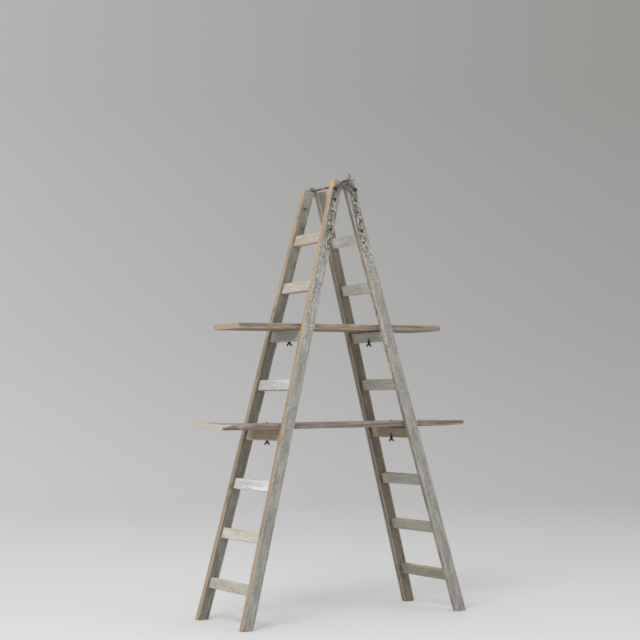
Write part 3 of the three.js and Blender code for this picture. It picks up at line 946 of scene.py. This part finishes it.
@dataclass
class Timber:
    """One length of timber, worn along its arrises and put in place of its CAD node.

    Args:
        node: The CAD node.
        body: The body that it rides on.
        slot: The record's material slot; not used.
        depth: Its size up its depth, from 0.
        thickness: Its size through its thickness, about 0.
        axes: Unit directions along it, up its depth and through its thickness.
        origin: The point that its own axes are measured from.
        offset: What is taken off each of its own axes.
        taper: How far its middle moves through for each metre along.
        arris: How far the rounding of its edges reaches.
        bite: How deep the wear of its arrises goes.
        pitch: The distance between the cuts that let its arrises wear unevenly.
    """

    node: str
    body: str
    slot: str
    depth: float
    thickness: float
    axes: np.ndarray
    origin: np.ndarray
    offset: np.ndarray
    taper: float = 0.0
    arris: float = 3 * MM
    bite: float = 0.9 * MM
    pitch: float = 30 * MM

    def own(self, points: np.ndarray) -> np.ndarray:
        """Turns points in the frame to the timber's own axes.

        Args:
            points: One row for each point.

        Returns:
            One row for each point: along, up and through.
        """
        turned = (points - self.origin) @ self.axes.T
        turned[:, 2] -= self.taper * turned[:, 0]
        return turned - self.offset

    def build(self, finish: WeatheredPaint | ReclaimedPine, seed: float) -> None:
        """Makes the worn timber and dresses it.

        Args:
            finish: Its paint or its bare wood.
            seed: Moves the patterns.
        """
        piece = merged_copy(self.node, f"{self.node}_timber")
        own = self.own(points_of(piece))
        low, high = own.min(axis=0), own.max(axis=0)
        round_edges(piece, lambda start, finish: self._rounded(start, finish, low, high), self.arris)
        count = int((high[0] - low[0]) / self.pitch)
        first = self.origin + self.axes[0] * (low[0] + self.offset[0] + self.pitch / 2)
        cut_across(piece, Vector(first), Vector(self.axes[0]) * self.pitch, count)
        self._nibble(piece, seed)
        store_grain(piece, self.own(points_of(piece)))
        smooth_flats(piece)
        settle(piece, finish.material(f"finish_{self.node}", seed), self.body, self.node)

    def _rounded(self, start: Vector, finish: Vector, low: np.ndarray, high: np.ndarray) -> bool:
        """Says whether an edge is a long one, or lies on one of the timber's ends off its low face.

        Args:
            start: One end of the edge.
            finish: The other end.
            low: The timber's least place along, up and through.
            high: Its greatest.

        Returns:
            Whether the edge is rounded.
        """
        first, second = self.own(np.array([start, finish]))
        along, up, _ = (first + second) / 2
        on_end = min(along - low[0], high[0] - along) < END_REACH and up > LOW_STRIP
        return (finish - start).length > LONG_EDGE or on_end

    def _nibble(self, piece: Piece, seed: float) -> None:
        """Wears the long arrises back unevenly, with a deeper chip here and there.

        Args:
            piece: The timber, cut across at even steps.
            seed: Moves the wear.
        """
        points = points_of(piece)
        for index, (along, up, through) in enumerate(self.own(points)):
            near_narrow = min(up, self.depth - up)
            near_wide = self.thickness / 2 - abs(through)
            if near_narrow > ARRIS_REACH or near_wide > ARRIS_REACH:
                continue
            high, outward = ARRIS_STEP * (up > self.depth / 2), ARRIS_STEP * (through > 0)
            corner = Vector((WEAR_PER_METRE * along + seed, high, outward))
            chip = max(0.0, noise.noise(CHIPS_PER_WEAR * corner) - CHIP_RARITY)
            share = self.bite * (0.5 + 0.5 * noise.noise(corner) + CHIP_DEPTH * chip)
            down, inward = math.copysign(share, self.depth / 2 - up), -math.copysign(share, through)
            points[index] += np.array([0, down, inward]) @ self.axes
        points[:, 2] = np.maximum(points[:, 2], 0)
        piece.data.vertices.foreach_set("co", points.astype(np.float32).ravel())
        piece.data.update()


def settle(
    piece: Piece, material: Material, body: str, node: str | None
) -> None:
    """Dresses a finished piece, puts it on its body and in place of its CAD node.

    Args:
        piece: The object.
        material: Its material.
        body: The body that it rides on.
        node: The CAD node that it stands for, or none.
    """
    piece.data.materials.clear()
    piece.data.materials.append(material)
    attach(piece, body)
    if node:
        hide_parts(node)
    log.info("%s: %d faces", piece.name, len(piece.data.polygons))


@dataclass
class LadderFrame:
    """One leaning frame: two stiles, eight rungs, and the irons that hang it on the hinge rod.

    Args:
        side: Which frame.
        body: The body that it rides on.
    """

    side: Side
    body: str

    def __post_init__(self) -> None:
        """Works out the directions down the frame and out from it."""
        sine, cosine = math.sin(HALF_ANGLE), math.cos(HALF_ANGLE)
        self.hinge = np.array([0, 0, HINGE_HEIGHT])
        self.down = np.array([self.side.value * sine, 0, -cosine])
        self.out = np.array([self.side.value * cosine, 0, sine])

    def build(self) -> None:
        """Makes and dresses every piece of the frame."""
        for end in End:
            self._stile(end)
            self._strap(end)
        for number in range(1, RUNG_COUNT + 1):
            self._rung(number)
        self._screws()

    def _stile(self, end: End) -> None:
        """Makes one stile.

        Args:
            end: Which end of the frame.
        """
        timber = Timber(
            node=f"{self.side.word}_{end.word}_stile",
            body=self.body,
            slot="painted_stile",
            depth=STILE_DEPTH,
            thickness=STILE_THICKNESS,
            axes=np.array([self.down, self.out, [0, end.value, 0]]),
            origin=self.hinge,
            offset=np.array([0, INNER_FACE, TOP_HALF_WIDTH]),
            taper=TAPER,
        )
        timber.build(STILE_PAINT[self.side, end], 10.0 + 3 * self.side.value + end.value)

    def _rung(self, number: int) -> None:
        """Makes one rung.

        Args:
            number: The rung, counted from the top.
        """
        drop = FIRST_RUNG + (number - 1) * RUNG_PITCH
        left = self.side is Side.LEFT
        timber = Timber(
            node=f"{self.side.word}_rung_{number}",
            body=self.body,
            slot="pale_rung" if left else "grey_rung",
            depth=RUNG_HEIGHT,
            thickness=RUNG_THICKNESS,
            axes=np.array([[0, 1, 0], -self.down, self.out]),
            origin=self.hinge,
            offset=np.array([0, -drop - RUNG_HEIGHT / 2, RUNG_MIDDLE]),
            arris=2 * MM,
            bite=0.6 * MM,
        )
        tone = (PALE if left else GREY)[number - 1]
        finish = WeatheredPaint(
            tone,
            tone,
            depth=RUNG_HEIGHT,
            thickness=RUNG_THICKNESS,
            bare_high=0.6,
            bare_low=0.1,
            rubbed=2.6 * MM,
            specks=0.08,
            grime=0.25,
            far_end=FAR_ENDS.get((self.side, number), ""),
            tenon=TOP_HALF_WIDTH + TAPER * (drop - RUNG_HEIGHT / 2) - STILE_THICKNESS / 2 + 2 * MM,
        )
        timber.build(finish, 30.0 + 2.7 * number * self.side.value)

    def _strap(self, end: End) -> None:
        """Makes one strap iron with rounded edges.

        Args:
            end: Which end of the frame.
        """
        node = f"{self.side.word}_{end.word}_strap"
        piece = softened_copy(node, f"{node}_iron", width=0.9 * MM, sharp=40, angle=35)
        iron = PaintedIron("#6f6d63", "#aeaba1", "#423f35", pitted=0.8, rusted=0.85)
        if end is End.FAR:
            iron = PaintedIron("#8a877c", "#a5a297", "#5b5245", pitted=0.5, rusted=0.3)
        settle(piece, iron.material(f"finish_{node}", 5.0 + end.value), self.body, node)

    def _screws(self) -> None:
        """Adds the slotted screws that hold the near strap between and below its bolts."""
        drops = (170 * MM,) if self.side is Side.LEFT else (170 * MM, 338 * MM)
        rust = RustedIron("#4c4238", "#2e261f").material(f"{self.side.word}_screw_iron", 3.0)
        for number, drop in enumerate(drops, 1):
            out = SCREW_LINE_OUT - SCREW_LINE_SLOPE * (drop - SCREW_LINE_DROP)
            y = -(TOP_HALF_WIDTH + TAPER * drop + STILE_THICKNESS / 2 + STRAP_FACE)
            place = Vector(self.hinge + self.down * drop + self.out * out) + Vector((0, y, 0))
            piece = slotted_screw(f"{self.side.word}_near_strap_screw_{number}", place)
            settle(piece, rust, self.body, None)


def slotted_screw(name: str, place: Vector) -> Piece:
    """Makes the domed head of a slotted wood screw, 12 mm across, facing -Y.

    Args:
        name: The piece's name.
        place: Where its seat is.

    Returns:
        The new object.
    """
    radius, height, slot = 6 * MM, 2.6 * MM, 1.4 * MM
    bpy.ops.object.select_all(action="DESELECT")
    bpy.ops.mesh.primitive_cylinder_add(vertices=24, radius=radius, depth=2 * height)
    piece = bpy.context.active_object
    piece.name = name
    round_edges(piece, lambda start, finish: min(start.z, finish.z) > 0, 2 * MM)
    bpy.ops.object.select_all(action="DESELECT")
    bpy.ops.mesh.primitive_cube_add(size=1, location=(0, 0, height))
    cutter = bpy.context.active_object
    cutter.scale = (3 * radius, slot, slot)
    select_only(piece)
    cut = piece.modifiers.new("slot", "BOOLEAN")
    cut.object = cutter
    cut.operation = "DIFFERENCE"
    bpy.ops.object.modifier_apply(modifier=cut.name)
    bpy.data.objects.remove(cutter)
    piece.data.transform(Matrix.Translation(place) @ Matrix.Rotation(math.pi / 2, 4, "X"))
    smooth_flats(piece)
    return piece


@dataclass
class Ironmongery:
    """The hinge rod, and every bolt, nut, screw, washer and wing nut.

    Args:
        soft_edge: How far the rounding of a forged or pressed edge reaches.
    """

    soft_edge: float = 0.7 * MM

    def build(self) -> None:
        """Makes and dresses the metal pieces."""
        black = BlackedSteel().material("black_oxide_steel", 1.0)
        rod = RustedIron("#7a6558", "#43332a", 0.75, "#d2c2b8").material("rod_iron", 4.0)
        rust = RustedIron("#4c4238", "#2e261f", rubbed=0.1).material("bolt_iron", 2.0)
        painted = PaintedIron("#7c7568", "#a9a598", "#54483a", pitted=0.7).material("painted_nut_iron", 8.0)
        for node in list(frame["nodes"]):
            if node == "hinge_rod":
                self._remake(node, rod)
            elif "strap_bolt" in node or "strap_nut" in node or "coach_screw" in node:
                self._remake(node, painted if "_far_" in node else rust)
            elif "wing_nut" in node or "washer" in node or "shelf_bolt" in node:
                self._remake(node, black)

    def _remake(self, node: str, material: Material) -> None:
        """Makes a softened copy of one metal piece.

        Args:
            node: The CAD node.
            material: Its material.
        """
        body = frame["nodes"][node]["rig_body"]
        piece = softened_copy(node, f"{node}_metal", self.soft_edge, sharp=50, angle=46)
        settle(piece, material, body, node)


@dataclass
class ShelfBoard:
    """A reclaimed plank laid on one rung of both frames.

    Args:
        node: The CAD node.
        finish: The plank's finish.
        seed: Moves its patterns.
    """

    node: str
    finish: ReclaimedPine
    seed: float

    def build(self) -> None:
        """Makes and dresses the plank."""
        low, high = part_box(self.node)
        timber = Timber(
            node=self.node,
            body="left_frame",
            slot="reclaimed_board",
            depth=high.y - low.y,
            thickness=self.finish.thickness,
            axes=np.eye(3),
            origin=np.zeros(3),
            offset=np.array([0, low.y, low.z + self.finish.thickness / 2]),
            arris=2.2 * MM,
        )
        timber.build(self.finish, self.seed)


UPPER_PINE = ReclaimedPine("#b9a694", "#846d5b", "#948d87", 1.302, 31 * MM)
LOWER_PINE = ReclaimedPine("#a99888", "#796860", "#938b84", 1.561, 30 * MM, whitewash=0.85)


@dataclass
class Studio:
    """A pale floor swept up into a wall painted greyer as shade, two soft lights and the camera.

    Args:
        radius: The distance from the ladder to the wall.
        cove: The radius of the sweep between floor and wall.
        height: The wall's height.
        eye: Where the camera stands.
        heading: The camera's turn from +Y towards +X, in radians.
        pitch: How far it looks up, in radians.
        roll: How far it leans, in radians.
        lens: Its focal length in millimetres.
        rise: Its vertical shift.
        aim: What the lights point at.
        sides: How many sides the round floor has.
        steps: How many steps the cove takes.
        gap: How far the second floor lies below the first.
    """

    radius: float = 11.0
    cove: float = 2.0
    height: float = 9.0
    eye: tuple[float, float, float] = (-4.482, -7.428, 1.218)
    heading: float = 0.53652
    pitch: float = 0.0236
    roll: float = 0.01036
    lens: float = 87.19
    rise: float = 0.0625
    aim: tuple[float, float, float] = (0.0, 0.0, 1.2)
    sides: int = 96
    steps: int = 8
    gap: float = 0.2 * MM

    def build(self) -> None:
        """Makes the stage, the lights and the camera."""
        self._sweep()
        self._light("key_light", Vector((-4.5, -3.5, 6.5)), size=3.5, power=200)
        self._light("fill_light", Vector((2.5, -7.0, 3.5)), size=4.0, power=44)
        world = bpy.data.worlds.new("soft_room")
        world.use_nodes = True
        background = world.node_tree.nodes["Background"]
        background.inputs["Color"].default_value = linear("#f4f5f6")
        background.inputs["Strength"].default_value = 0.8
        bpy.context.scene.world = world
        bpy.context.scene.view_settings.view_transform = "Standard"
        self._camera()

    def _sweep(self) -> None:
        """Pulls a disc of floor up into a cove and a wall, and lays a second disc that light can reach."""
        flat = self.radius - self.cove
        paper = self._paper()
        bpy.ops.object.select_all(action="DESELECT")
        bpy.ops.mesh.primitive_circle_add(vertices=self.sides, radius=flat, fill_type="NGON")
        sweep = bpy.context.active_object
        sweep.name = "studio_sweep"
        bpy.ops.object.mode_set(mode="EDIT")
        bpy.ops.mesh.select_mode(type="EDGE")
        bpy.ops.mesh.select_all(action="SELECT")
        bpy.ops.mesh.region_to_loop()
        reach, level = flat, 0.0
        for step in range(1, self.steps + 1):
            angle = step / self.steps * math.pi / 2
            wider = flat + self.cove * math.sin(angle)
            rise = self.cove * (1 - math.cos(angle)) - level
            bpy.ops.mesh.extrude_edges_move(TRANSFORM_OT_translate={"value": (0, 0, rise)})
            growth = wider / reach
            bpy.ops.transform.resize(value=(growth, growth, 1), center_override=(0, 0, 0))
            reach, level = wider, level + rise
        bpy.ops.mesh.extrude_edges_move(TRANSFORM_OT_translate={"value": (0, 0, self.height)})
        bpy.ops.mesh.select_mode(type="VERT")
        bpy.ops.object.mode_set(mode="OBJECT")
        bpy.ops.object.shade_smooth()
        for ray in ("visible_diffuse", "visible_shadow", "visible_glossy"):
            setattr(sweep, ray, False)
        bpy.ops.object.select_all(action="DESELECT")
        bpy.ops.mesh.primitive_circle_add(
            vertices=self.sides, radius=flat, fill_type="NGON", location=(0, 0, -self.gap)
        )
        floor = bpy.context.active_object
        floor.name = "studio_floor"
        floor.visible_camera = False
        for piece in (sweep, floor):
            piece.data.materials.append(paper)

    def _paper(self) -> Material:
        """Builds matt seamless paper: pale underfoot, with painted shade that greys it up the wall and away
        to the right.
        """
        material, tree = new_material("seamless_paper")
        place = add(tree, "TexCoord", out="Object")
        across, _, height = add(tree, "SeparateXYZ", {0: place}).node.outputs
        # Painted shade: the paper darkens away to the right and up the wall, standing in for light falling
        # off.
        shade_to_right = add(tree, "MapRange", {0: across, 1: 0.0, 2: 9.0, 3: 0.0, 4: 0.55})
        shade_up_wall = add(tree, "MapRange", {0: height, 1: 0.3, 2: 5.0, 3: 0.0, 4: 0.3})
        fade = combined(tree, shade_to_right, shade_up_wall, operation="ADD")
        base = coated(tree, "#e3e3e2", [(fade, "#9b9a96")])
        close_material(tree, fade, 0.1 * MM, {"Base Color": base, "Roughness": 0.95, "IOR": 1.4})
        return material

    def _light(self, name: str, place: Vector, size: float, power: float) -> None:
        """Adds one soft light aimed at the middle of the ladder.

        Args:
            name: The light's name.
            place: Where it stands.
            size: Its side.
            power: Its power in watts.
        """
        data = bpy.data.lights.new(name, "AREA")
        data.shape = "SQUARE"
        data.size = size
        data.energy = power
        lamp = bpy.data.objects.new(name, data)
        lamp.location = place
        lamp.rotation_euler = (Vector(self.aim) - place).to_track_quat("-Z", "Y").to_euler()
        bpy.context.scene.collection.objects.link(lamp)

    def _camera(self) -> None:
        """Adds the camera, a little below the lower shelf and leaning slightly."""
        right = Vector((math.cos(self.heading), -math.sin(self.heading), 0))
        forward = Vector((math.sin(self.heading), math.cos(self.heading), 0)) * math.cos(self.pitch)
        forward.z = math.sin(self.pitch)
        up = right.cross(forward)
        leaned_right = right * math.cos(self.roll) - up * math.sin(self.roll)
        leaned_up = right * math.sin(self.roll) + up * math.cos(self.roll)
        data = bpy.data.cameras.new("camera")
        data.lens = self.lens
        data.shift_y = self.rise
        camera = bpy.data.objects.new("camera", data)
        camera.location = self.eye
        camera.rotation_euler = Matrix((leaned_right, leaned_up, -forward)).transposed().to_euler()
        bpy.context.scene.collection.objects.link(camera)
        bpy.context.scene.camera = camera


def main() -> None:
    """Builds the ladder's looks and the studio."""
    logging.basicConfig(level=logging.INFO, format="%(name)s: %(message)s")
    LadderFrame(Side.LEFT, "left_frame").build()
    LadderFrame(Side.RIGHT, "right_frame").build()
    ShelfBoard("upper_shelf_board", UPPER_PINE, 21.0).build()
    ShelfBoard("lower_shelf_board", LOWER_PINE, 27.0).build()
    Ironmongery().build()
    Studio().build()


if __name__ == "__main__":
    main()
